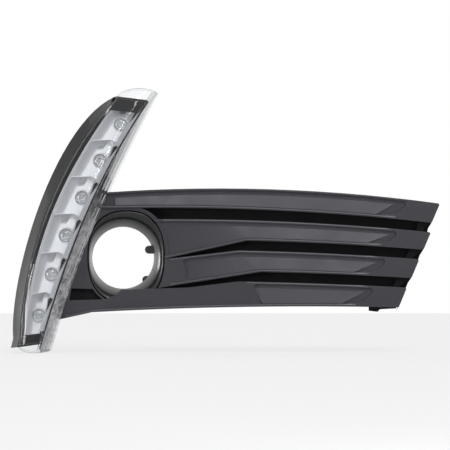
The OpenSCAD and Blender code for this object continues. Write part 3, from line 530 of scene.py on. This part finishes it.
for number in range(1, cell_count):
    ridge = skin[cell_rows * number, ridge_ends:-ridge_ends] + np.array([0, -ridge_lift, 0])
    sheet_mesh(f"tray_ridge_{number}", rod_points(ridge, ridge_radius), tray_edge_lit)
for name, inward, depth, radius in rim_beads:
    sheet_mesh(name, rod_points(edge_path(inward, depth), radius), tray_edge_lit)
for number, axis in enumerate(optic_places(), 1):
    sheet_mesh(f"optic_collar_{number}", collar_points(axis), tray_edge_lit)


# Clear lens: one moulding of polished polycarbonate. Light goes straight through its thin walls,
# rims turn darker where the eye looks along the wall, and both skins mirror the room. The prisms
# moulded into the wing make it milky in patches, less so towards the top.
lens_round = 0.0004
pane_tint, pane_rim_tint = (0.97, 0.975, 0.98, 1), (0.55, 0.57, 0.60, 1)
wing_rim_tint, wing_milk = (0.95, 0.955, 0.97, 1), (0.90, 0.90, 0.93, 1)
pane_rough, pane_ior = 0.03, 1.36
ripple_depth, ripple_size = 0.000005, 0.012
milk_most, milk_least, milk_top = 0.45, 0.1125, 0.12
milk_patch, milk_noise, clear_from = 0.009, (0.36, 0.66), (0.03, 0.09)


def clear_wall(name, tint, rim_tint):
    """Thin clear wall: see-through tinted from `tint` face on to `rim_tint` edge on, mixed with a
    mirror by Fresnel's law; a slow ripple bends the mirrored light."""
    made = bpy.data.materials.new(name)
    made.use_nodes = True
    nodes, links = made.node_tree.nodes, made.node_tree.links
    nodes.remove(nodes["Principled BSDF"])
    facing = nodes.new("ShaderNodeLayerWeight")
    facing.inputs["Blend"].default_value = 0.35
    shade = nodes.new("ShaderNodeMix")
    shade.data_type = "RGBA"
    shade.inputs[6].default_value, shade.inputs[7].default_value = tint, rim_tint
    links.new(facing.outputs["Facing"], shade.inputs[0])
    through = nodes.new("ShaderNodeBsdfTransparent")
    links.new(shade.outputs[2], through.inputs["Color"])
    mirror = nodes.new("ShaderNodeBsdfGlossy")
    mirror.inputs["Roughness"].default_value = pane_rough
    law = nodes.new("ShaderNodeFresnel")
    law.inputs["IOR"].default_value = pane_ior
    mix = nodes.new("ShaderNodeMixShader")
    links.new(law.outputs[0], mix.inputs[0])
    links.new(through.outputs[0], mix.inputs[1])
    links.new(mirror.outputs[0], mix.inputs[2])
    links.new(mix.outputs[0], nodes["Material Output"].inputs["Surface"])
    where, wave = nodes.new("ShaderNodeTexCoord"), nodes.new("ShaderNodeTexNoise")
    wave.inputs["Scale"].default_value = 1 / ripple_size
    links.new(where.outputs["Object"], wave.inputs["Vector"])
    bump = nodes.new("ShaderNodeBump")
    bump.inputs["Distance"].default_value = ripple_depth
    links.new(wave.outputs["Fac"], bump.inputs["Height"])
    for user in (mirror, law):
        links.new(bump.outputs["Normal"], user.inputs["Normal"])
    return made


def milky_wall(name, tint, rim_tint, milk_colour):
    """The clear wall with a milky share in it: a pale diffuse skin, mixed in by milk_least to milk_most
    as a noise of the size milk_patch goes from dark to bright. Between the two heights clear_from that
    share falls to milk_top of itself."""
    made = clear_wall(name, tint, rim_tint)
    nodes, links = made.node_tree.nodes, made.node_tree.links
    out = nodes["Material Output"]
    before = out.inputs["Surface"].links[0].from_socket
    where, cells = nodes.new("ShaderNodeTexCoord"), nodes.new("ShaderNodeTexNoise")
    cells.inputs["Scale"].default_value = 1 / milk_patch
    cells.inputs["Detail"].default_value = 1.5
    links.new(where.outputs["Object"], cells.inputs["Vector"])
    share = nodes.new("ShaderNodeMapRange")
    share.inputs["From Min"].default_value, share.inputs["From Max"].default_value = milk_noise
    share.inputs["To Min"].default_value, share.inputs["To Max"].default_value = milk_least, milk_most
    links.new(cells.outputs["Fac"], share.inputs["Value"])
    parts, height = nodes.new("ShaderNodeSeparateXYZ"), nodes.new("ShaderNodeMapRange")
    links.new(where.outputs["Object"], parts.inputs[0])
    links.new(parts.outputs["Z"], height.inputs["Value"])
    height.inputs["From Min"].default_value, height.inputs["From Max"].default_value = clear_from
    height.inputs["To Min"].default_value, height.inputs["To Max"].default_value = 1.0, milk_top
    less = nodes.new("ShaderNodeMath")
    less.operation = "MULTIPLY"
    links.new(share.outputs["Result"], less.inputs[0])
    links.new(height.outputs["Result"], less.inputs[1])
    milk, mix = nodes.new("ShaderNodeBsdfDiffuse"), nodes.new("ShaderNodeMixShader")
    milk.inputs["Color"].default_value = milk_colour
    links.new(less.outputs[0], mix.inputs[0])
    links.new(before, mix.inputs[1])
    links.new(milk.outputs[0], mix.inputs[2])
    links.new(mix.outputs[0], out.inputs["Surface"])
    return made


def on_wing(mesh):
    """1 for each face whose middle lies beyond the far pane edge: cross product of the edge's tangent
    at the nearest of 240 places with the way from there to the middle."""
    middle = face_middles(mesh)[:, [0, 2]]
    edge = along(far_edge, np.linspace(0, 1, 240))
    step = np.gradient(edge, axis=0)
    nearest = np.linalg.norm(middle[:, None] - edge[None], axis=-1).argmin(1)
    way = middle - edge[nearest]
    side = step[nearest, 0] * way[:, 1] - step[nearest, 1] * way[:, 0]
    return (side < -1e-7).astype(np.int32)


lens = dressed("outer_lens", clear_wall("clear_lens", pane_tint, pane_rim_tint), lens_round)
lens.data.materials.append(milky_wall("clear_lens_wing", pane_tint, wing_rim_tint, wing_milk))
lens.data.polygons.foreach_set("material_index", on_wing(lens.data))

# Optics: six solid lenses of clear acrylic with a domed front, faintly cloudy inside. Each one sits
# in its well of the tray, just in front of its chip.
acrylic = bpy.data.materials.new("optic_clear")
acrylic.use_nodes = True
gem = acrylic.node_tree.nodes["Principled BSDF"]
gem.inputs["Base Color"].default_value = (0.97, 0.98, 0.99, 1)
gem.inputs["Roughness"].default_value = 0.03
gem.inputs["IOR"].default_value = 1.49
gem.inputs["Transmission Weight"].default_value = 0.86
for number in range(1, cell_count + 1):
    dressed(f"optic_{number}", acrylic)

# Board, chips, driver parts, heat sink, pins, vent and screws: inside or at the back, each in its
# own plain finish.
inner = {
    "led_board": finish("board_white", (0.70, 0.71, 0.68, 1), 0.42),
    "driver_parts": finish("driver_dark", (0.02, 0.02, 0.021, 1), 0.4),
    "heat_sink": finish("sink_aluminium", (0.50, 0.51, 0.53, 1), 0.38, metal=1.0, grain=0.00004),
    "connector_pins": finish("pin_brass", (0.60, 0.46, 0.20, 1), 0.28, metal=1.0),
    "vent_cap": finish("vent_grey", (0.10, 0.10, 0.11, 1), 0.6),
    "tray_screws": finish("screw_steel", (0.50, 0.51, 0.53, 1), 0.3, metal=1.0),
    "spring_nuts": finish("nut_steel", (0.16, 0.165, 0.175, 1), 0.35, metal=1.0),
}
inner["carrier_screws"] = inner["lamp_screws"] = inner["tray_screws"]
chip_yellow = finish("chip_yellow", (0.80, 0.65, 0.16, 1), 0.45)
for number in range(1, cell_count + 1):
    inner[f"led_{number}"] = chip_yellow
for node, material in inner.items():
    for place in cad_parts[node].material_slots:
        place.material = material
